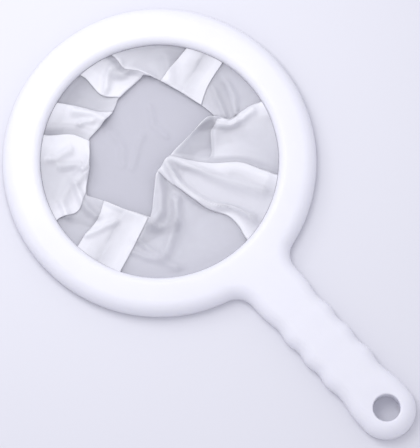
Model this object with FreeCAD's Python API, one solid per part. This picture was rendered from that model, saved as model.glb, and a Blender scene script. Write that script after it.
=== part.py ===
import FreeCAD, Part
import math
import os
from FreeCAD import Vector

# Hand skimmer net, in millimetres. The origin is the middle of the whole object, on the surface it
# lies on. The grip runs along +X and the ring is at -X. Everything is drawn round the ring's centre
# and moved to the origin when it is written.

# ring
ring_radius = 75.0
mouth_radius = 57.0
thickness = 9.5
outer_rounding = 6.5
inner_rounding = 4.0
bottom_rounding = 1.2

# grip
hole_distance = 160.5
hole_radius = 6.5
hole_rounding = 0.8
end_radius = 14.1
root_half_width = 13.8
root_fillet = 9.5
wave_crest = 13.6
wave_trough = 12.5
first_trough = 99.2
wave_pitch = 13.65
wave_troughs = 4

# the two halves and the hollow between them
seam_height = 3.0
wall = 2.0
floor_thickness = 1.6
slit_low = 4.3
slit_high = 4.7
grip_hollow_half_width = 10.8
hollow_rounding = 4.5
lip_height = 4.0
lip_gap = 0.3
lip_thickness = 1.0
boss_wall = 2.1

# weld pegs
peg_radius = 1.45
socket_radius = 1.5
socket_outer_radius = 3.0
peg_top = 6.0
ring_peg_circle = 68.2
ring_pegs = 8
grip_pegs = [92.0, 118.0, 144.0]

# hoop and hem
hoop_circle = 61.0
hoop_radius = 0.75
hem_inner_radius = 0.85
hem_outer_radius = 1.15
hem_height = 4.5
hem_thickness = 0.3
rib_width = 1.4

# bag, lying collapsed
base_radius = 42.0
base_thickness = 0.35
cloth_thickness = 0.3
# radius and height of each fold of the wall, from the mouth down to the base
wall_folds = [(56.6, 4.5), (36.0, 4.2), (50.0, 2.2), (42.6, 0.85)]

total_length = ring_radius + hole_distance + end_radius
ring_x = ring_radius - total_length / 2


def disc(radius, bottom, top, x=0.0, y=0.0):
    return Part.makeCylinder(radius, top - bottom, Vector(x, y, bottom))


def tube(outer, inner, bottom, top, x=0.0, y=0.0):
    return disc(outer, bottom, top, x, y).cut(disc(inner, bottom - 1, top + 1, x, y))


def rounded(shape, radius, chosen):
    return shape.makeFillet(radius, [edge for edge in shape.Edges if chosen(edge)])


def lies_at(height):
    def test(edge):
        box = edge.BoundBox
        return abs(box.ZMin - height) < 1e-4 and abs(box.ZMax - height) < 1e-4
    return test


def is_mouth(edge):
    box = edge.BoundBox
    return max(abs(box.XMin), abs(box.XMax), abs(box.YMin), abs(box.YMax)) < mouth_radius + 0.1


# outline: the ring's circle, a fillet each side of the grip's root, waved edges and a round end

def grip_edge(side):
    """Waved edge from the root fillet to the round end, on the side y = +1 or -1."""
    points = [(root_x(), root_half_width), (92.0, 13.4)]
    for wave in range(wave_troughs):
        trough_x = first_trough + wave * wave_pitch
        points.append((trough_x, wave_trough))
        if wave < wave_troughs - 1:
            points.append((trough_x + wave_pitch / 2, wave_crest))
    points += [(150.0, 13.55), (hole_distance, end_radius)]
    curve = Part.BSplineCurve()
    curve.interpolate(Points=[Vector(x, side * y, 0) for x, y in points],
                      InitialTangent=Vector(1, 0, 0), FinalTangent=Vector(1, 0, 0))
    return curve.toShape()


def root_x():
    return math.sqrt((ring_radius + root_fillet) ** 2 - (root_half_width + root_fillet) ** 2)


def root_arc(side):
    centre = Vector(root_x(), side * (root_half_width + root_fillet), 0)
    on_ring = centre * (ring_radius / (ring_radius + root_fillet))
    on_grip = Vector(root_x(), side * root_half_width, 0)
    middle = centre + ((on_ring + on_grip) * 0.5 - centre).normalize() * root_fillet
    return Part.Arc(on_ring, middle, on_grip).toShape(), on_ring


def outline():
    left_arc, left = root_arc(1)
    right_arc, right = root_arc(-1)
    ring_arc = Part.Arc(left, Vector(-ring_radius, 0, 0), right).toShape()
    end_arc = Part.Arc(Vector(hole_distance, -end_radius, 0),
                       Vector(hole_distance + end_radius, 0, 0),
                       Vector(hole_distance, end_radius, 0)).toShape()
    return Part.Wire([ring_arc, right_arc, grip_edge(-1), end_arc, grip_edge(1), left_arc])


def body():
    """Ring and grip as one block with rounded edges, before it is split and hollowed."""
    face = Part.Face(outline())
    block = face.extrude(Vector(0, 0, thickness)).cut(disc(mouth_radius, -1, thickness + 1))
    top = lies_at(thickness)
    block = rounded(block, outer_rounding, lambda edge: top(edge) and not is_mouth(edge))
    block = rounded(block, inner_rounding, lambda edge: top(edge) and is_mouth(edge))
    block = rounded(block, bottom_rounding, lies_at(0))
    block = block.cut(disc(hole_radius, -1, thickness + 1, hole_distance))
    return rounded(block, hole_rounding, lambda edge: lies_at(thickness)(edge) and at_hole(edge))


def at_hole(edge):
    return abs(edge.BoundBox.Center.x - hole_distance) < 0.1 and edge.BoundBox.XLength < 2.1 * hole_radius


def grip_slab(inset, bottom, top):
    """Straight slab inside the grip, from the ring to round the hang hole."""
    half = grip_hollow_half_width - inset
    start = ring_radius - wall - outer_rounding
    bar = Part.makeBox(hole_distance - start, 2 * half, top - bottom, Vector(start, -half, bottom))
    return bar.fuse(disc(half, bottom, top, hole_distance))


def hollow():
    """The space between the two halves."""
    roof = thickness - wall
    ring = disc(ring_radius - wall, floor_thickness, roof)
    space = ring.fuse(grip_slab(0, floor_thickness, roof)).removeSplitter()
    space = rounded(space, hollow_rounding, lies_at(roof))
    space = space.cut(disc(mouth_radius + wall, 0, thickness))
    return space.cut(disc(hole_radius + boss_wall, 0, thickness, hole_distance))


def peg_places():
    places = [(x, 0.0) for x in grip_pegs]
    for peg in range(ring_pegs):
        angle = math.radians(360 / ring_pegs * (peg + 0.5))
        places.append((ring_peg_circle * math.cos(angle), ring_peg_circle * math.sin(angle)))
    return places


def lower_half():
    """Where the back shell lies: below the seam, and up to the slit at the mouth."""
    reach = total_length
    low = Part.makeBox(2 * reach, 2 * reach, seam_height + 1, Vector(-reach, -reach, -1))
    low = low.fuse(disc(mouth_radius + wall, 0, slit_low))
    return low.cut(disc(hole_radius + boss_wall, -2, seam_height + 1, hole_distance))


def upper_half():
    reach = total_length
    high = Part.makeBox(2 * reach, 2 * reach, thickness, Vector(-reach, -reach, seam_height))
    high = high.cut(disc(mouth_radius + wall, 0, slit_high))
    return high.fuse(disc(hole_radius + boss_wall, -1, seam_height + 1, hole_distance))


def front_shell():
    roof = thickness - wall + 0.5
    shell = body().common(upper_half()).cut(hollow())
    keeper = hoop_circle + hem_outer_radius + 0.25
    shell = shell.fuse(tube(keeper + rib_width, keeper, slit_low - 0.9, roof))
    press = hem_height + hem_outer_radius + 0.05
    shell = shell.fuse(tube(hoop_circle + rib_width / 2, hoop_circle - rib_width / 2, press, roof))
    for x, y in peg_places():
        shell = shell.fuse(disc(socket_outer_radius, seam_height, roof, x, y))
        shell = shell.cut(disc(socket_radius, seam_height - 1, peg_top + 0.5, x, y))
    return shell.removeSplitter()


def back_shell():
    shell = body().common(lower_half()).cut(hollow())
    lip_outer = ring_radius - wall - lip_gap
    lip = disc(lip_outer, floor_thickness, lip_height)
    lip = lip.fuse(grip_slab(lip_gap, floor_thickness, lip_height))
    inside = disc(lip_outer - lip_thickness, 0, thickness)
    inside = inside.fuse(grip_slab(lip_gap + lip_thickness, 0, thickness))
    shell = shell.fuse(lip.cut(inside))
    seat_top = hem_height - hem_outer_radius - 0.05
    shell = shell.fuse(tube(hoop_circle + rib_width / 2, hoop_circle - rib_width / 2,
                            floor_thickness - 0.5, seat_top))
    for x, y in peg_places():
        shell = shell.fuse(disc(peg_radius, floor_thickness - 0.5, peg_top, x, y))
    return shell.removeSplitter()


def hoop():
    return Part.makeTorus(hoop_circle, hoop_radius, Vector(0, 0, hem_height))


def net_hem():
    """Mesh folded round the hoop, with its two layers led out through the slit."""
    height = Vector(0, 0, hem_height)
    around = Part.makeTorus(hoop_circle, hem_outer_radius, height)
    flange = tube(hoop_circle, mouth_radius - 0.2, hem_height - hem_thickness / 2,
                  hem_height + hem_thickness / 2)
    return around.fuse(flange).cut(Part.makeTorus(hoop_circle, hem_inner_radius, height)).removeSplitter()


def net_wall():
    """The collapsed wall as one folded band, turned about the ring's axis."""
    up = cloth_thickness / 2
    band = None
    for (r_start, z_start), (r_end, z_end) in zip(wall_folds, wall_folds[1:]):
        corners = [(r_start, z_start - up), (r_start, z_start + up), (r_end, z_end + up), (r_end, z_end - up)]
        points = [Vector(r, 0, z) for r, z in corners]
        run = Part.Face(Part.makePolygon(points + points[:1])).revolve(Vector(), Vector(0, 0, 1), 360)
        band = run if band is None else band.fuse(run)
    return band.removeSplitter()


def net_base():
    return disc(base_radius, 0, base_thickness)


makers = {
    "front_shell": front_shell,
    "back_shell": back_shell,
    "net_hoop": hoop,
    "net_hem": net_hem,
    "net_wall": net_wall,
    "net_base": net_base,
}

os.makedirs("parts", exist_ok=True)
for node, maker in makers.items():
    shape = maker()
    shape.translate(Vector(ring_x, 0, 0))
    shape.exportStep(f"parts/{node}.step")
    box = shape.BoundBox
    print(f"{node}: {len(shape.Solids)} solid, valid {shape.isValid()}, {shape.Volume:.0f} mm3,"
          f" z {box.ZMin:.2f} to {box.ZMax:.2f}")
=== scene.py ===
import math
import bpy
import bmesh
from mathutils import Vector, Matrix, noise


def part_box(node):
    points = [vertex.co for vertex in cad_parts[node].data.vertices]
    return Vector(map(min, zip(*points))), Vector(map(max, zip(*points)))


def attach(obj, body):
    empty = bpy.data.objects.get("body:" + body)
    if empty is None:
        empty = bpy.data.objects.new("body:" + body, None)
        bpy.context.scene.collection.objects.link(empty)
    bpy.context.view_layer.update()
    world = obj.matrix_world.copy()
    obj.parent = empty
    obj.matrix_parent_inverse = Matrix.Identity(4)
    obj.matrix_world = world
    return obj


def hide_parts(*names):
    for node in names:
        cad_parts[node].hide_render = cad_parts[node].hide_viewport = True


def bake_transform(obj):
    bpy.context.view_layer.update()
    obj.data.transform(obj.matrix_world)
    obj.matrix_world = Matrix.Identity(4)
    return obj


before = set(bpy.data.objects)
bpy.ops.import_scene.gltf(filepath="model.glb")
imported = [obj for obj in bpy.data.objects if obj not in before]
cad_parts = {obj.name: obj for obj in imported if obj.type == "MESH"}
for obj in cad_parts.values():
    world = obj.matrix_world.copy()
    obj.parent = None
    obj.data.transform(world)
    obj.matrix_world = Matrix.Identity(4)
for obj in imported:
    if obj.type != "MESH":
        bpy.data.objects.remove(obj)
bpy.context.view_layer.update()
mm = 0.001

ringLow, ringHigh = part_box("net_hoop")
ringCentre = Vector(((ringLow.x + ringHigh.x) / 2, 0, 0))


# shader maths as expressions: a Tap is one socket of a node tree

class Tap:
    def __init__(self, tree, socket):
        self.tree = tree
        self.socket = socket

    def node(self, kind, settings=None, inputs=None, out=0):
        made = self.tree.nodes.new(kind)
        for name, value in (settings or {}).items():
            setattr(made, name, value)
        for name, value in (inputs or {}).items():
            if isinstance(value, Tap):
                self.tree.links.new(value.socket, made.inputs[name])
            else:
                made.inputs[name].default_value = value
        return Tap(self.tree, made.outputs[out])

    def maths(self, operation, first, second):
        return self.node("ShaderNodeMath", {"operation": operation}, {0: first, 1: second})

    def __add__(self, other):
        return self.maths("ADD", self, other)

    def __radd__(self, other):
        return self.maths("ADD", other, self)

    def __mul__(self, other):
        return self.maths("MULTIPLY", self, other)

    def __rmul__(self, other):
        return self.maths("MULTIPLY", other, self)

    def __pow__(self, other):
        return self.maths("POWER", self, other)

    def sine(self):
        return self.node("ShaderNodeMath", {"operation": "SINE"}, {0: self})

    def feeds(self, shader, name):
        self.tree.links.new(self.socket, shader.inputs[name])


def newMaterial(name, fixedValues):
    material = bpy.data.materials.new(name)
    material.use_nodes = True
    shader = material.node_tree.nodes["Principled BSDF"]
    for socket, value in fixedValues.items():
        shader.inputs[socket].default_value = value
    return material, shader, Tap(material.node_tree, None)


def mixColours(tap, share, first, second):
    return tap.node("ShaderNodeMix", {"data_type": "RGBA"},
                    {"Factor": share, "A": first, "B": second}, "Result")


def noiseTap(tap, place, scale, detail=2.0):
    return tap.node("ShaderNodeTexNoise", {},
                    {"Vector": place, "Scale": scale, "Detail": detail}, "Fac")


def bumpTap(tap, height, strength, depth):
    return tap.node("ShaderNodeBump", {},
                    {"Strength": strength, "Distance": depth, "Height": height})


# moulded white plastic: slow flow marks in its colour, and a fine grain that dulls its gloss

plastic = {
    "colour": (0.72, 0.72, 0.775, 1),
    "shadeColour": (0.70, 0.70, 0.765, 1),
    "roughness": 0.38,
    "flowRoughness": 0.08,
    "grainRoughness": 0.05,
    "flowPerMetre": 22,
    "grainPerMetre": 2600,
    "grainDetail": 3.0,
    "grainBump": 0.08,
    "grainDepth": 0.04 * mm,
    "hoopTint": 0.97,
    "mergeWithin": 0.002 * mm,
    "sharpAngle": 32,
    "fixed": {"IOR": 1.49, "Specular IOR Level": 0.45, "Subsurface Weight": 0.25,
              "Subsurface Scale": 0.003, "Subsurface Radius": (1.0, 1.0, 1.15)},
}


def whitePlastic(name, tint=1.0):
    colour, shadeColour = (tuple(c * tint for c in plastic[key][:3]) + (1,)
                           for key in ("colour", "shadeColour"))
    material, shader, tap = newMaterial(name, plastic["fixed"])
    place = tap.node("ShaderNodeTexCoord", out="Object")
    flow = noiseTap(tap, place, plastic["flowPerMetre"])
    grain = noiseTap(tap, place, plastic["grainPerMetre"], plastic["grainDetail"])
    mixColours(tap, flow, colour, shadeColour).feeds(shader, "Base Color")
    gloss = plastic["roughness"] + flow * plastic["flowRoughness"]
    (gloss + grain * plastic["grainRoughness"]).feeds(shader, "Roughness")
    bumpTap(tap, grain, plastic["grainBump"], plastic["grainDepth"]).feeds(shader, "Normal")
    return material


# sheer mesh: a plain weave in the sheet's own measure, whiter and denser where more plies lie; its
# colour also carries painted light: painted shade greys a single layer, painted light whitens the
# folds, and a painted highlight runs along fold edges

cloth = {
    # shadedSingleColour is the cloth greyed with painted shade where one layer lies, and
    # litFoldedColour is its lit copy, painted light where layers are folded
    "shadedSingleColour": (0.49, 0.49, 0.545, 1),
    "litFoldedColour": (0.86, 0.86, 0.905, 1),
    "gapColour": (0.5, 0.5, 0.56, 1),
    "gapShare": 0.15,
    "singleAlpha": 0.42,
    "foldedAlpha": 0.72,
    # foldHighlightShare and foldHighlightPower set a painted highlight, a thin bright line along
    # fold edges, partly the doubled threads of a real fold
    "foldHighlightShare": 0.5,
    "foldHighlightPower": 3.0,
    "threadPitch": 0.28 * mm,
    "roughness": 0.45,
    "threadRoughness": 0.15,
    "threadBump": 0.15,
    "threadDepth": 0.03 * mm,
    "fixed": {"Specular IOR Level": 0.3, "Sheen Weight": 0.3, "Sheen Roughness": 0.4,
              "Sheen Tint": (0.95, 0.95, 1.0, 1)},
}


def sheerMesh(name):
    material, shader, tap = newMaterial(name, cloth["fixed"])
    sheet = tap.node("ShaderNodeUVMap", {"uv_map": "sheet"}, out="UV")
    across, along = (tap.node("ShaderNodeSeparateXYZ", {}, {"Vector": sheet}, axis) for axis in "XY")
    turnsPerMetre = 2 * math.pi / cloth["threadPitch"]
    weave = (across * turnsPerMetre).sine() * (along * turnsPerMetre).sine() * 0.5 + 0.5
    pliesAndPaintedLight, fold = (tap.node("ShaderNodeAttribute", {"attribute_name": attribute}, out="Fac")
                   for attribute in ("pliesAndPaintedLight", "foldEdgeHighlight"))
    # the fold edge mask, narrowed by a power, becomes a painted highlight line along the folded
    # edges
    edge = fold ** cloth["foldHighlightPower"] * cloth["foldHighlightShare"]
    # layers lying together, with painted light from the pleat looks, and the painted highlight line
    # added
    pliesAndLightShare = tap.node("ShaderNodeMath", {"operation": "ADD", "use_clamp": True}, {0: pliesAndPaintedLight, 1: edge})
    # painted light and shade: the grey shaded copy of the cloth where one layer lies, the lit copy
    # where layers are folded
    paintedLightTone = mixColours(tap, pliesAndLightShare, cloth["shadedSingleColour"], cloth["litFoldedColour"])
    threads = (1 - cloth["gapShare"]) + weave * cloth["gapShare"]
    mixColours(tap, threads, cloth["gapColour"], paintedLightTone).feeds(shader, "Base Color")
    denser = cloth["foldedAlpha"] - cloth["singleAlpha"]
    (cloth["singleAlpha"] + pliesAndLightShare * denser).feeds(shader, "Alpha")
    (cloth["roughness"] + weave * cloth["threadRoughness"]).feeds(shader, "Roughness")
    bumpTap(tap, weave, cloth["threadBump"], cloth["threadDepth"]).feeds(shader, "Normal")
    return material


shellPlastic = whitePlastic("shellPlastic")
hoopPlastic = whitePlastic("hoopPlastic", plastic["hoopTint"])
meshCloth = sheerMesh("meshCloth")
print("materials ready")


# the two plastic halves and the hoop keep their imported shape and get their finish

def finishNode(name, material):
    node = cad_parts[name]
    node.data.materials.clear()
    node.data.materials.append(material)
    node.data.polygons.foreach_set("use_smooth", [True] * len(node.data.polygons))
    weld = node.modifiers.new("Weld", "WELD")
    weld.merge_threshold = plastic["mergeWithin"]
    split = node.modifiers.new("EdgeSplit", "EDGE_SPLIT")
    split.split_angle = math.radians(plastic["sharpAngle"])


finishNode("front_shell", shellPlastic)
finishNode("back_shell", shellPlastic)
finishNode("net_hoop", hoopPlastic)
print("shells finished")


# the bag: one round sheet of mesh, pleated into the mouth and folded down flat on the floor.
# Its measures are in millimetres and degrees, round the ring's centre.

bag = {
    "mouth": 56.8,
    "mouthHeight": 4.5,
    "sheetRadius": 95.0,
    "splitRadius": 26.0,
    "turn": 1.2,
    "gridCells": 60,
    "returnRows": 8,
    "topRows": 20,
    "tuckRows": 6,
    "tuckTurnRows": 2,
    "layerGap": 0.6,
    "edgeLayerGap": 0.2,
    "openingHeight": 3.1,
    "returnHeight": 1.7,
    "outerHeight": 1.0,
    "floorHeight": 0.4,
    "outerLift": 0.3,
    "outerLiftPower": 6,
    "baseCentre": (-14.0, -1.0),
    "innerLimit": 56.0,
}

# the opening that the folds leave over the middle, anticlockwise
opening = [(0.2, 3.9), (-1.8, 31.7), (0.5, 35.0), (-29.6, 26.2), (-35.8, 23.8), (-35.7, 7.9),
           (-32.6, 2.4), (-29.8, -16.6), (-19.3, -25.8), (-13.3, -35.5), (16.6, -21.0), (1.9, -6.0)]

# each pleat: degrees round the mouth of the edge that shows, degrees covered, + towards larger
# angles, then the same in millimetres round the opening
pleats = [(3, 8, 191.5, 4.5), (41.4, -10, 202.5, -4.5), (78.4, -9, 232.9, -14),
          (104.2, 9, 238.7, 12), (124.6, -9, 264.3, -12), (162, -3, 270.9, -4.5),
          (180, -14, 286.8, -13), (196, 12, 293.1, 14), (213, 14, 312.3, 12),
          (258.5, -10, 337.7, -11), (273, 11.5, 346.2, 11), (298.8, -12, 370.9, -12)]
pathStart = (-30.0, 175.5)
pleatTurn = {"angle": 1.0, "inner": 0.7}  # how far round each pleat's end the cloth comes level

# along a pleat: the layer, how many plies show with painted light on them (a painted highlight at
# the fold that shows, fading to painted shade towards the next fold), and whether a folded edge
# shows, for a painted highlight line
pleatLooks = {"open": (0.0, 0.15, 0.0), "under": (-1.0, 0.1, 0.0), "between": (-0.5, 0.5, 0.0),
              "edge": (0.5, 1.0, 1.0), "over": (1.0, 0.75, 0.0), "beside": (0.0, 0.66, 0.0)}

# where the top layer is tucked under itself behind the opening: the line of its edge, how far
# under, between which angles round the mouth, and where a column without a tuck has those rows
tuck = {"line": [(0.5, 36.0), (4.6, 26.4), (18.4, 15.2), (26.0, 8.0)], "under": 5.0,
        "from": 43.0, "to": 77.0, "fade": 4, "nearest": 2.0, "plainShare": 0.3, "plainGap": 2.5,
        "dip": 1.6, "edgeFrom": 2}

# how many plies show with painted light on them: on the turned-back cloth, on the top layer, painted
# darker towards the mouth, and round the tuck, with painted shade on the cloth tucked under and a
# painted highlight along its edge that fades away
pliesAndLightShown = {"return": 0.6, "mouth": 0.1, "opening": 0.5, "tuckUnder": 0.35, "tuckEdge": 0.95,
              "tuckFade": 0.65}

# fitting the fold that is furthest out to the length of cloth in each column
fitting = {"leastAside": 0.3, "firstShare": 0.7, "ease": 0.4, "rounds": 30, "stepBack": 0.2,
           "smoothing": 6}
tiny = 1e-9


def smoothStep(value):
    value = min(max(value, 0.0), 1.0)
    return value * value * (3 - 2 * value)


def crossing(a, b, line):
    # how far along a to b it meets a broken line, or None
    for c, d in zip(line, line[1:]):
        c, d = Vector(c), Vector(d)
        way, other = b - a, d - c
        bend = way.cross(other)
        if abs(bend) > tiny:
            here, there = (c - a).cross(other) / bend, (c - a).cross(way) / bend
            if 0 <= here <= 1 and 0 <= there <= 1:
                return here
    return None


def tuckPlaces(angle, inner, mouth):
    # the visible and the hidden fold along a column, as shares of its way, and how far the
    # cloth goes under
    length = (mouth - inner).length
    met = crossing(inner, mouth, tuck["line"])
    under = 0.0
    if met is not None and tuck["from"] < angle < tuck["to"]:
        under = tuck["under"] * smoothStep((angle - tuck["from"]) / tuck["fade"])
        under *= smoothStep((tuck["to"] - angle) / tuck["fade"])
    if under <= 0:
        return tuck["plainShare"], tuck["plainShare"] + tuck["plainGap"] / length, 0.0
    met = max(met, tuck["nearest"] / length)
    return met, met + under / length, under


def foldNodes(lap):
    # the way round the mouth and the opening: angle, millimetres, and the look there
    angle, inner = pathStart
    nodes = [(angle, inner) + pleatLooks["open"]]
    for edge, cover, innerEdge, innerCover in sorted(pleats):
        side = 1 if cover > 0 else -1
        near = (edge, innerEdge)
        away = (edge + cover, innerEdge + innerCover)
        before = (near[0] - side * pleatTurn["angle"], near[1] - side * pleatTurn["inner"])
        after = (away[0] + side * pleatTurn["angle"], away[1] + side * pleatTurn["inner"])
        run = [before + pleatLooks["open"], near + pleatLooks["under"],
               away + pleatLooks["between"], near + pleatLooks["edge"],
               away + pleatLooks["over"], after + pleatLooks["beside"]]
        nodes += run[::side]
    nodes.append((angle + 360.0, inner + lap) + pleatLooks["open"])
    return nodes


def foldColumns(count, lap):
    # even columns along that way, with one exactly on each fold
    nodes = foldNodes(lap)
    perDegree = math.radians(bag["mouth"])
    spans = [(abs(b[0] - a[0]) * perDegree + abs(b[1] - a[1])) / 2
             for a, b in zip(nodes, nodes[1:])]
    cells = [max(1, round(count * span / sum(spans))) for span in spans]
    while sum(cells) != count:
        step = 1 if sum(cells) < count else -1
        free = [i for i in range(len(cells)) if cells[i] + step > 0]
        cells[max(free, key=lambda i: step * spans[i] / cells[i])] += step
    columns = []
    for a, b, number in zip(nodes, nodes[1:], cells):
        for cell in range(number):
            share = cell / number
            columns.append(tuple(x + share * (y - x) for x, y in zip(a, b)))
    return columns, nodes[-1]


def openingSides():
    corners = [Vector(corner) for corner in opening]
    return list(zip(corners, corners[1:] + corners[:1]))


def roundOpening(along):
    # the point that far round the opening
    along %= sum((b - a).length for a, b in openingSides())
    for corner, following in openingSides():
        length = (following - corner).length
        if along <= length:
            return corner.lerp(following, along / length)
        along -= length
    return Vector(opening[0])


def unwrapped(angle, near):
    return angle + 2 * math.pi * round((near - angle) / (2 * math.pi))


def even(ways):
    # the shares of a full turn at which the columns stand in the flat sheet
    return [2 * math.pi * way / ways[-1] for way in ways[:-1]]


def outerReach(inner, direction, depth):
    # how far from the base's centre the turned-back cloth of a column folds again
    centre = Vector(bag["baseCentre"])
    reach = depth * fitting["firstShare"]
    for _ in range(fitting["rounds"]):
        spare = depth - (centre + direction * reach - inner).length - reach
        reach += fitting["ease"] * spare
    while (centre + direction * reach).length > bag["innerLimit"]:
        reach -= fitting["stepBack"]
    return reach


def columnTable():
    # what each column needs: its layer and look, its mouth, opening and outer fold, and where
    # they lie in the flat sheet
    lap = sum((b - a).length for a, b in openingSides())
    count = 4 * bag["gridCells"]
    columns, last = foldColumns(count, lap)
    closed = columns + [last]
    mouth = [Vector((math.cos(math.radians(c[0])), math.sin(math.radians(c[0])))) * bag["mouth"]
             for c in closed]
    inner = [roundOpening(c[1]) for c in closed]
    rise = bag["mouthHeight"] - bag["openingHeight"]
    tucks = [tuckPlaces(c[0], p, m) for c, p, m in zip(closed, inner, mouth)]
    depth = [bag["sheetRadius"] - math.hypot((m - p).length, rise) - 2 * t[2]
             for m, p, t in zip(mouth, inner, tucks)]
    mouthWay, innerWay = [0.0], [0.0]
    for k in range(count):
        mouthWay.append(mouthWay[-1] + abs(closed[k + 1][0] - closed[k][0]))
        along = abs(closed[k + 1][1] - closed[k][1])
        aside = math.sqrt(max(along ** 2 - (depth[k + 1] - depth[k]) ** 2,
                              (fitting["leastAside"] * along) ** 2))
        innerWay.append(innerWay[-1] + aside * 2 / (depth[k + 1] + depth[k]))
    print("cloth round the mouth", round(mouthWay[-1] / 360, 3), "of its circumference")
    turnMouth, turnInner = even(mouthWay), even(innerWay)
    shift = sum(m - i for m, i in zip(turnMouth, turnInner)) / count
    turnInner = [turn + shift for turn in turnInner]
    ways = []
    for point, turn in zip(inner, turnInner):
        towards = point - Vector(bag["baseCentre"])
        ways.append(unwrapped(math.atan2(towards.y, towards.x), turn) - turn)
    drift = sum(ways) / count
    table = []
    for k in range(count):
        direction = Vector((math.cos(turnInner[k] + drift), math.sin(turnInner[k] + drift)))
        table.append({"layer": columns[k][2], "pliesAndPaintedLight": columns[k][3], "fold": columns[k][4],
                      "mouth": mouth[k].to_3d(), "inner": inner[k].to_3d(), "depth": depth[k],
                      "turnMouth": turnMouth[k], "turnInner": turnInner[k], "tuck": tucks[k],
                      "reach": outerReach(inner[k], direction, depth[k])})
    for _ in range(fitting["smoothing"]):
        reaches = [column["reach"] for column in table]
        for k, column in enumerate(table):
            column["reach"] = (reaches[k - 1] + 2 * reaches[k] + reaches[(k + 1) % count]) / 4
    return table, drift


def squareToDisc(x, y):
    if max(abs(x), abs(y)) < tiny:
        return 0.0, 0.0
    if abs(x) >= abs(y):
        radius, angle = x, math.pi / 4 * y / x
    else:
        radius, angle = y, math.pi / 2 - math.pi / 4 * x / y
    return radius * math.cos(angle), radius * math.sin(angle)


def polar(radius, angle):
    return Vector((radius * math.cos(angle), radius * math.sin(angle), 0))


def basePlace(table, share, turn):
    # where a point of the grid lies in the flat sheet, inside the outer fold
    count = len(table)
    meanReach = sum(column["reach"] for column in table) / count
    meanLean = sum(column["turnInner"] - 2 * math.pi * k / count
                   for k, column in enumerate(table)) / count
    place = (turn % (2 * math.pi)) / (2 * math.pi) * count
    low = int(place) % count
    high = (low + 1) % count
    part = place - int(place)
    reach = table[low]["reach"] * (1 - part) + table[high]["reach"] * part
    lap = 2 * math.pi if high == 0 else 0.0
    angle = table[low]["turnInner"] * (1 - part) + (table[high]["turnInner"] + lap) * part
    level = 2 * math.pi * place / count + meanLean
    return polar(share * (meanReach + share * (reach - meanReach)), level + share * (angle - level))


def returnPlace(row, column, outer):
    # the cloth under the top layer, from the outer fold back to the opening
    share = row / bag["returnRows"]
    atEdge = row == bag["returnRows"]
    reach, depth, layer = column["reach"], column["depth"], column["layer"]
    flat = polar(reach + share * (depth - reach), column["turnInner"])
    plan = outer.lerp(column["inner"], share)
    if atEdge:
        height = (bag["returnHeight"] + bag["openingHeight"]) / 2 + bag["edgeLayerGap"] * layer
    else:
        height = bag["outerHeight"] + share * (bag["returnHeight"] - bag["outerHeight"])
        height -= share * layer * bag["layerGap"]
    # painted light: the turned-back cloth is painted darker near the outer fold and lighter towards
    # the opening
    pliesAndPaintedLight = share * (pliesAndLightShown["return"] + (1 - pliesAndLightShown["return"]) * column["pliesAndPaintedLight"])
    return flat, Vector((plan.x, plan.y, height)), (pliesAndPaintedLight, 1.0 if atEdge else 0.0, share)


def topPlace(step, column):
    # the top layer, from the opening to the mouth, with its tuck
    near, far, under = column["tuck"]
    first, last = bag["tuckRows"], bag["topRows"]
    second = first + bag["tuckTurnRows"]
    length = (column["mouth"] - column["inner"]).length
    whole = length + 2 * under
    part = 0.0
    if step <= first:
        share = step / first * (far if under else near)
        way = share * length
    elif step <= second:
        part = (step - first) / (second - first)
        share = far + part * (near - far) if under else near + part * (far - near)
        way = (far + part * (far - near)) * length if under else share * length
    else:
        part = (step - second) / (last - second)
        begin = near if under else far
        share = begin + part * (1 - begin)
        way = share * length
        if under:
            way = (far + (far - near)) * length + part * (1 - near) * length
    flat = polar(column["depth"], column["turnInner"]).lerp(
        polar(bag["sheetRadius"], column["turnMouth"]), way / whole)
    plan = column["inner"].lerp(column["mouth"], share)
    height = bag["openingHeight"] + share * (bag["mouthHeight"] - bag["openingHeight"])
    height += column["layer"] * bag["layerGap"]
    # painted light: the top layer is painted darker towards the mouth and lighter towards the
    # opening
    lightTowardsOpening = pliesAndLightShown["mouth"] + pliesAndLightShown["opening"] * (1 - share)
    pliesAndPaintedLight = column["pliesAndPaintedLight"] + (1 - column["pliesAndPaintedLight"]) * lightTowardsOpening
    if under:
        stack = 0 if step <= first else 1 if step < second else 2
        height += (stack - tuck["dip"] * (1 - share) ** 2) * bag["layerGap"]
        # round the tuck: a painted highlight at its edge that fades away, and painted shade on the
        # cloth tucked under
        if step > second:
            pliesAndPaintedLight = max(pliesAndPaintedLight, pliesAndLightShown["tuckEdge"] - pliesAndLightShown["tuckFade"] * part)
        else:
            pliesAndPaintedLight = pliesAndLightShown["tuckUnder"]
    edge = 1.0 if under > tuck["edgeFrom"] and step == second else column["fold"]
    return flat, Vector((plan.x, plan.y, height)), (pliesAndPaintedLight, edge, 1.0)


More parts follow.
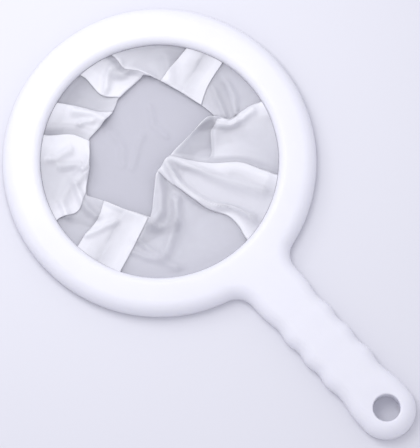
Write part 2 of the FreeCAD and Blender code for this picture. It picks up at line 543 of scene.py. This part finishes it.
def foldedSheet():
    # the sheet as a mesh, and each point's place in the flat sheet and in the folded bag
    table, drift = columnTable()
    count = len(table)
    centre = Vector(bag["baseCentre"]).to_3d()
    turned = Matrix.Rotation(drift, 3, "Z")
    sheet = bmesh.new()
    bmesh.ops.create_grid(sheet, x_segments=bag["gridCells"], y_segments=bag["gridCells"], size=1.0)
    flat, folded, look = {}, {}, {}
    for vert in sheet.verts:
        x, y = squareToDisc(vert.co.x, vert.co.y)
        share = math.hypot(x, y)
        flat[vert] = basePlace(table, share, math.atan2(y, x) + math.pi / 4)
        lift = bag["floorHeight"] + bag["outerLift"] * share ** bag["outerLiftPower"]
        folded[vert] = centre + turned @ flat[vert] + Vector((0, 0, lift))
        look[vert] = (0.0, 0.0, 0.0)
        vert.co = Vector((x, y, 0))
    edges = [edge for edge in sheet.edges if edge.is_boundary]
    for row in range(1, bag["returnRows"] + bag["topRows"] + 1):
        made = bmesh.ops.extrude_edge_only(sheet, edges=edges)["geom"]
        edges = [piece for piece in made if isinstance(piece, bmesh.types.BMEdge)]
        for vert in [piece for piece in made if isinstance(piece, bmesh.types.BMVert)]:
            turn = math.atan2(vert.co.y, vert.co.x) + math.pi / 4
            column = table[round((turn % (2 * math.pi)) / (2 * math.pi) * count) % count]
            if row <= bag["returnRows"]:
                outer = centre + turned @ polar(column["reach"], column["turnInner"])
                flat[vert], folded[vert], look[vert] = returnPlace(row, column, outer)
            else:
                flat[vert], folded[vert], look[vert] = topPlace(row - bag["returnRows"], column)
    sheet.verts.index_update()
    flatPlaces = [flat[vert] for vert in sheet.verts]
    foldedPlaces = [folded[vert] for vert in sheet.verts]
    looks = [look[vert] + (flat[vert].length,) for vert in sheet.verts]
    for vert, place in zip(sheet.verts, flatPlaces):
        vert.co = place
    bmesh.ops.recalc_face_normals(sheet, faces=sheet.faces)
    mesh = bpy.data.meshes.new("meshBag")
    sheet.to_mesh(mesh)
    sheet.free()
    # the cloth's attributes: layers with painted light, the fold edges for the painted highlight
    # line, the lift of the top layers and the radius in the flat sheet
    for index, name in enumerate(("pliesAndPaintedLight", "foldEdgeHighlight", "topness", "sheetRadius")):
        layer = mesh.attributes.new(name, "FLOAT", "POINT")
        layer.data.foreach_set("value", [values[index] for values in looks])
    return mesh, flatPlaces, foldedPlaces


# settling: the folds relax under their own weight, held only at the mouth. The cloth is settled
# many times larger than life, because the solver keeps layers a fixed distance apart.

settling = {
    "scale": 20.0,
    "frames": 20,
    "floorSize": 3,
    "wallRadius": 57.7,
    "wallSegments": 96,
    "wallLength": 110,
    "wallMiddle": -40,
    "heldWithin": 0.01,
    "collider": {"thickness_outer": 0.004, "thickness_inner": 0.05, "cloth_friction": 8},
    "cloth": {"quality": 6, "mass": 0.15, "air_damping": 2, "bending_model": "ANGULAR",
              "tension_stiffness": 25, "tension_damping": 8, "compression_stiffness": 25,
              "compression_damping": 8, "shear_stiffness": 12, "shear_damping": 8,
              "bending_stiffness": 0.3, "bending_damping": 0.5},
    "contact": {"distance_min": 0.008, "collision_quality": 3, "use_self_collision": True,
                "self_distance_min": 0.002, "self_friction": 5},
}


def applySettings(target, values):
    for name, value in values.items():
        setattr(target, name, value)


def addCollider(name, shape):
    mesh = bpy.data.meshes.new(name)
    shape.to_mesh(mesh)
    shape.free()
    collider = bpy.data.objects.new(name, mesh)
    bpy.context.scene.collection.objects.link(collider)
    collider.modifiers.new("Collision", "COLLISION")
    applySettings(collider.collision, settling["collider"])
    return collider


def settledCloth(sheet, group, restKey):
    # the places of the sheet's points after the simulation, which leaves no modifier behind
    modifier = sheet.modifiers.new("Cloth", "CLOTH")
    applySettings(modifier.settings, settling["cloth"])
    modifier.settings.vertex_group_mass = group
    modifier.settings.rest_shape_key = sheet.data.shape_keys.key_blocks[restKey]
    applySettings(modifier.collision_settings, settling["contact"])
    modifier.point_cache.frame_start = 1
    modifier.point_cache.frame_end = settling["frames"]
    for step in range(1, settling["frames"] + 1):
        bpy.context.scene.frame_set(step)
    shaped = sheet.evaluated_get(bpy.context.evaluated_depsgraph_get()).to_mesh()
    places = [vert.co.copy() for vert in shaped.vertices]
    sheet.modifiers.remove(modifier)
    return places


def addFloorStop():
    plane = bmesh.new()
    bmesh.ops.create_grid(plane, x_segments=1, y_segments=1, size=settling["floorSize"])
    return addCollider("floorStop", plane)


def addRingStop(scale):
    tube = bmesh.new()
    radius = settling["wallRadius"] * scale
    bmesh.ops.create_cone(tube, cap_ends=False, segments=settling["wallSegments"],
                          radius1=radius, radius2=radius, depth=settling["wallLength"] * scale)
    bmesh.ops.translate(tube, verts=tube.verts, vec=(0, 0, settling["wallMiddle"] * scale))
    bmesh.ops.reverse_faces(tube, faces=tube.faces)
    return addCollider("ringStop", tube)


def settleBag(mesh, flat, folded):
    scale = settling["scale"] * mm
    sheet = bpy.data.objects.new("meshBag", mesh)
    bpy.context.scene.collection.objects.link(sheet)
    for vert in mesh.vertices:
        vert.co = flat[vert.index] * scale
    sheet.shape_key_add(name="Basis")
    sheet.shape_key_add(name="asCut")
    start = sheet.shape_key_add(name="folded")
    start.value = 1
    for index, place in enumerate(folded):
        start.data[index].co = place * scale
    rim = bag["sheetRadius"] - settling["heldWithin"]
    group = sheet.vertex_groups.new(name="held")
    group.add([index for index, place in enumerate(flat) if place.length > rim], 1.0, "REPLACE")
    colliders = (addFloorStop(), addRingStop(scale))
    bpy.context.scene.frame_end = settling["frames"]
    places = settledCloth(sheet, "held", "asCut")
    for collider in colliders:
        bpy.data.objects.remove(collider)
    sheet.shape_key_clear()
    bpy.data.objects.remove(sheet)
    bpy.context.scene.frame_set(1)
    print("bag settled")
    return [place / scale for place in places]


# soft ridges and hollows that the folds keep: points along each, its height and its half width

ridges = [
    ([(2, 2), (14.6, -0.9), (24.8, 0.5), (36, 4.1), (47, 10), (52, 13)], 3.8, 2.0),
    ([(3, 5), (15.8, 11), (32.1, 16.5), (45, 26)], 2.2, 2.0),
    ([(4, -5), (12, -10), (18, -16), (20, -24)], 2.8, 2.6),
    ([(18.8, -6.9), (27.1, -14.1), (35.3, -29.9)], 2.8, 2.6),
    ([(19, -24), (23, -22.8), (27.1, -14.1)], 1.8, 1.6),
    ([(21.3, -33.6), (29.6, -32.2), (34.8, -30.5)], 1.7, 1.5),
    ([(23.2, -39.2), (30, -36), (36.5, -32.1), (44.2, -28.6)], 1.5, 1.6),
    ([(1, 32), (-1, 20), (0, 9)], 2.0, 1.6),
    ([(5, 34), (9, 42), (12, 49)], 2.2, 2.4),
    ([(-5.5, 50.4), (0.9, 48.8), (5.5, 44.5), (8.6, 41.6)], 1.7, 1.6),
    ([(-7.4, 44.7), (-3, 42.5), (2.4, 40.9)], 1.3, 1.5),
    ([(-34, 25), (-44, 22), (-48, 15)], 2.0, 2.4),
    ([(-44.9, 8.1), (-48.5, 11), (-50.5, 15), (-49.5, 20)], 2.0, 1.6),
    ([(-31, -5), (-39, -7), (-46, -13)], 2.2, 2.4),
    ([(-38.3, -17), (-38.8, -13.9), (-36.4, -10.1)], 1.6, 1.4),
    ([(-37, -38), (-34.9, -35.9), (-32.7, -28.3)], 1.5, 1.8),
    ([(-30.8, -36.5), (-25, -28.9), (-19.8, -29.9), (-19.5, -36.2)], 1.8, 1.7),
    ([(-12.5, -50), (-18.8, -47.2), (-21.7, -38.5)], 1.5, 1.7),
    ([(-25, -19), (-22, -27), (-22, -36), (-13, -40), (-3, -41)], 2.0, 1.9),
    ([(2.1, -49.9), (4.5, -41.3), (7.1, -35)], 1.5, 1.6),
    ([(-27, 31), (-34, 37), (-39, 39)], 1.6, 3.0),
    ([(28, 20), (38, 28), (45, 33)], 1.6, 3.4),
]

# shallow creases in the base, the same way
creases = [
    ([(-23, 15), (-15, 10), (-7, 11)], 0.9, 1.6),
    ([(-7, -11), (-13, -2), (-15, 3)], 0.8, 1.6),
    ([(-27, -7), (-19, -7), (-11, -13)], 0.7, 1.8),
]

# folds that lie in a curve: a place, how far the cloth there is pushed,
# and how wide the push spreads
bends = [
    ((-9.7, 43.5), (-1.2, -1.3), 9.0),
    ((5.8, 41.5), (3.3, -3.1), 7.0),
    ((30.3, 24.6), (-2.5, 2.3), 11.0),
    ((46.1, 2.2), (-3.6, 3.4), 10.0),
    ((-0.8, -41.2), (1.2, 1.3), 7.0),
    ((-12.0, -43.7), (4.3, -0.7), 7.0),
    ((-37.1, -22.9), (-2.1, 1.9), 8.0),
    ((-43.8, 2.7), (2.3, -4.2), 7.0),
    ((-46.6, 18.8), (2.6, -2.4), 6.0),
]

# how strongly those show, and the slow ripples of the cloth: scale per millimetre and height
surface = {"ridgeGain": 1.35, "lift": 0.3, "ripples": [(0.13, 0.45), (0.31, 0.16)],
           "baseLift": 0.12, "baseRipple": (0.1, 0.1), "rimWidth": 5.0}


def nearest(point, line):
    # how far a point is from a broken line
    gaps = []
    for a, b in zip(line, line[1:]):
        a, b = Vector(a), Vector(b)
        along = min(max((point - a).dot(b - a) / (b - a).length_squared, 0), 1)
        gaps.append((point - a.lerp(b, along)).length)
    return min(gaps)


def ridgeHeight(plan, lines):
    return sum(height * math.exp(-(nearest(plan, line) / width) ** 2)
               for line, height, width in lines)


def raised(place, topness):
    # a layer is lifted at least as far as any layer under it, so that they stay apart
    plan = Vector((place.x, place.y))
    ripple = sum(noise.noise(place * scale) * height for scale, height in surface["ripples"])
    lift = ridgeHeight(plan, ridges) * surface["ridgeGain"] + ripple + surface["lift"]
    scale, height = surface["baseRipple"]
    low = ridgeHeight(plan, creases)
    low += surface["baseLift"] + height * noise.noise(plan.to_3d() * scale)
    rim = smoothStep((bag["mouth"] - plan.length) / surface["rimWidth"])
    push = Vector((0, 0))
    for centre, shift, width in bends:
        push += Vector(shift) * math.exp(-((plan - Vector(centre)).length / width) ** 2)
    return place + Vector((push.x, push.y, lift * topness + low)) * rim


def meshPiece(name, mesh, places, flat, keep):
    # one part of the settled bag, with the sheet's own measure as its UV map
    piece = bpy.data.objects.new(name, mesh.copy())
    bpy.context.scene.collection.objects.link(piece)
    shape = bmesh.new()
    shape.from_mesh(piece.data)
    shape.verts.ensure_lookup_table()
    uv = shape.loops.layers.uv.new("sheet")
    for face in shape.faces:
        for loop in face.loops:
            point = flat[loop.vert.index]
            loop[uv].uv = (point.x * mm, point.y * mm)
        face.smooth = True
    spare = [face for face in shape.faces
             if not keep(sum(flat[vert.index].length for vert in face.verts) / len(face.verts))]
    for vert, place in zip(shape.verts, places):
        vert.co = place * mm + ringCentre
    bmesh.ops.delete(shape, geom=spare, context="FACES")
    shape.to_mesh(piece.data)
    shape.free()
    piece.data.materials.clear()
    piece.data.materials.append(meshCloth)
    return piece


def finerFolds(piece):
    # one subdivision is made real first, because the ridges are finer than the settled mesh
    smoother = piece.modifiers.new("Subdivision", "SUBSURF")
    smoother.levels = 1
    smoother.render_levels = 1
    shaped = piece.evaluated_get(bpy.context.evaluated_depsgraph_get())
    finer = bpy.data.meshes.new_from_object(shaped)
    piece.modifiers.clear()
    piece.data = finer
    topness = finer.attributes["topness"].data
    turned = Matrix.Rotation(math.radians(bag["turn"]), 3, "Z")
    for vert in finer.vertices:
        place = raised((vert.co - ringCentre) / mm, topness[vert.index].value)
        vert.co = turned @ place * mm + ringCentre


sheetMesh, flatPlaces, foldedPlaces = foldedSheet()
settledPlaces = settleBag(sheetMesh, flatPlaces, foldedPlaces)
for vert, place in zip(sheetMesh.vertices, flatPlaces):
    vert.co = place
splitRadius = bag["splitRadius"]
side = meshPiece("netSide", sheetMesh, settledPlaces, flatPlaces,
                 lambda distance: distance > splitRadius)
bottom = meshPiece("netBottom", sheetMesh, settledPlaces, flatPlaces,
                   lambda distance: distance < splitRadius)
for piece in (side, bottom):
    finerFolds(piece)

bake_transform(side)
# each point of the wall gets a share by its own measure down the cloth, not by its height while it
# is folded flat
radii = [value.value for value in side.data.attributes["sheetRadius"].data]
shares = [smoothStep((bag["sheetRadius"] - radius) / (bag["sheetRadius"] - splitRadius))
          for radius in radii]
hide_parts("net_wall")
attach(bottom, "bag_bottom")
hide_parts("net_base")
print("bag in place")


# the margin of the sheet: pleated like the mouth, out through the slit and once round the hoop

margin = {"mouth": 56.6, "flatTo": 1.7, "hoopCircle": 61.0, "wrapRadius": 1.0, "height": 4.5,
          "layerGap": 0.12, "wrapTurn": 335.0, "wrapSteps": 12, "stepsAround": 480,
          "clothPerStep": 1.25, "clothPerRow": 0.75, "width": 10.5}


def marginProfile(layer):
    # radius and height across the margin, from the mouth to its cut edge
    lift = layer * margin["layerGap"]
    wrap = margin["wrapRadius"] + lift
    points = [(margin["mouth"] + reach, margin["height"] + lift) for reach in (0, margin["flatTo"])]
    for step in range(margin["wrapSteps"] + 1):
        angle = math.radians(180 - step * margin["wrapTurn"] / margin["wrapSteps"])
        points.append((margin["hoopCircle"] + wrap * math.cos(angle),
                       margin["height"] + wrap * math.sin(angle)))
    return points


def mouthLayers(count):
    # angle and layer at even steps along the cloth at the mouth
    nodes = [(node[0], node[2]) for node in foldNodes(0.0)]
    ways = [0.0]
    for a, b in zip(nodes, nodes[1:]):
        ways.append(ways[-1] + abs(b[0] - a[0]))
    table, index = [], 0
    for step in range(count + 1):
        along = ways[-1] * step / count
        while index < len(nodes) - 2 and ways[index + 1] < along:
            index += 1
        share = (along - ways[index]) / (ways[index + 1] - ways[index])
        table.append(tuple(a + share * (b - a) for a, b in zip(nodes[index], nodes[index + 1])))
    return table


def netMargin():
    # a grid, along the cloth and across it, is bent to the profile and closed into a ring
    count, rows = margin["stepsAround"], margin["wrapSteps"] + 2
    shape = bmesh.new()
    uv = shape.loops.layers.uv.new("sheet")
    bmesh.ops.create_grid(shape, x_segments=count, y_segments=rows, size=1.0)
    bmesh.ops.reverse_faces(shape, faces=shape.faces)
    cell = {vert: (round((vert.co.x + 1) / 2 * count), round((vert.co.y + 1) / 2 * rows))
            for vert in shape.verts}
    for face in shape.faces:
        face.smooth = True
        for loop in face.loops:
            step, row = cell[loop.vert]
            loop[uv].uv = (step * margin["clothPerStep"] * mm, row * margin["clothPerRow"] * mm)
    profiles = [(math.radians(turn + bag["turn"]), marginProfile(layer))
                for turn, layer in mouthLayers(count)]
    for vert, (step, row) in cell.items():
        angle, profile = profiles[step]
        radius, height = profile[row]
        place = Vector((radius * math.cos(angle), radius * math.sin(angle), height))
        vert.co = place * mm + ringCentre
    starts = {row: vert for vert, (step, row) in cell.items() if step == 0}
    ends = {vert: starts[row] for vert, (step, row) in cell.items() if step == count}
    bmesh.ops.weld_verts(shape, targetmap=ends)
    mesh = bpy.data.meshes.new("netMargin")
    shape.to_mesh(mesh)
    shape.free()
    piece = bpy.data.objects.new("netMargin", mesh)
    bpy.context.scene.collection.objects.link(piece)
    mesh.materials.append(meshCloth)
    return piece


hem = netMargin()
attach(hem, "frame")
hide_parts("net_hem")
print("margin round the hoop")


# floor, light and camera. Places are in metres from the ring's centre, to the view's right, to its
# top and up from the floor, and powers are in watts.

studio = {
    "floorColour": (0.65, 0.65, 0.70, 1),
    "floorSize": 1.5,
    "floorDrop": 0.05 * mm,
    "lamps": {
        "keyLight": {"place": (-0.07, 0.10, 0.36), "power": 0.60, "size": 0.22},
        "sideLight": {"place": (-0.40, 0.34, 0.42), "power": 0.66, "size": 0.18},
    },
    "skyStrength": 0.96,
    "skyColour": (0.93, 0.93, 1.0, 1),
    "lens": 300,
    "tilt": 11.0,
    "frameHeight": 0.2132,
    "gripTurn": 48.1,
    "aim": (0.0241, -0.0305, 0.004),
    "layersSeenThrough": 48,
}


def paleFloor():
    shape = bmesh.new()
    bmesh.ops.create_grid(shape, x_segments=1, y_segments=1, size=studio["floorSize"])
    bmesh.ops.translate(shape, verts=shape.verts, vec=(0, 0, -studio["floorDrop"]))
    mesh = bpy.data.meshes.new("floor")
    shape.to_mesh(mesh)
    shape.free()
    floor = bpy.data.objects.new("floor", mesh)
    bpy.context.scene.collection.objects.link(floor)
    paper = {"Base Color": studio["floorColour"], "Roughness": 0.8, "Specular IOR Level": 0.2}
    mesh.materials.append(newMaterial("floorPaper", paper)[0])
    return floor


# the bag's base stands on the floor, so the floor keeps under it while the bag hangs down
floor = paleFloor()
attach(floor, "bag_bottom")


def viewAxes():
    # the view's right and up on the floor: the grip points down to the right
    turn = math.radians(studio["gripTurn"])
    return Vector((math.cos(turn), math.sin(turn), 0)), Vector((-math.sin(turn), math.cos(turn), 0))


def studioPlace(place):
    return ringCentre + right * place[0] + up * place[1] + Vector((0, 0, place[2]))


def addLight(name, values):
    lamp = bpy.data.lights.new(name, "AREA")
    lamp.energy = values["power"]
    lamp.size = values["size"]
    light = bpy.data.objects.new(name, lamp)
    bpy.context.scene.collection.objects.link(light)
    light.location = studioPlace(values["place"])
    light.rotation_euler = (ringCentre - light.location).to_track_quat("-Z", "Y").to_euler()


def addSky():
    world = bpy.data.worlds.new("studioSky")
    bpy.context.scene.world = world
    world.use_nodes = True
    background = world.node_tree.nodes["Background"]
    background.inputs["Color"].default_value = studio["skyColour"]
    background.inputs["Strength"].default_value = studio["skyStrength"]


def addCamera():
    lens = bpy.data.cameras.new("camera")
    lens.lens = studio["lens"]
    camera = bpy.data.objects.new("camera", lens)
    bpy.context.scene.collection.objects.link(camera)
    tilt = math.radians(studio["tilt"])
    back = up * -math.sin(tilt) + Vector((0, 0, math.cos(tilt)))
    distance = studio["frameHeight"] * studio["lens"] / lens.sensor_width
    matrix = Matrix((right, back.cross(right), back)).transposed().to_4x4()
    matrix.translation = studioPlace(studio["aim"]) + back * distance
    camera.matrix_world = matrix
    return camera


right, up = viewAxes()
for name, values in studio["lamps"].items():
    addLight(name, values)
addSky()
bpy.context.scene.camera = addCamera()
bpy.context.scene.view_settings.view_transform = "Standard"
bpy.context.scene.cycles.transparent_max_bounces = studio["layersSeenThrough"]
print("studio ready")
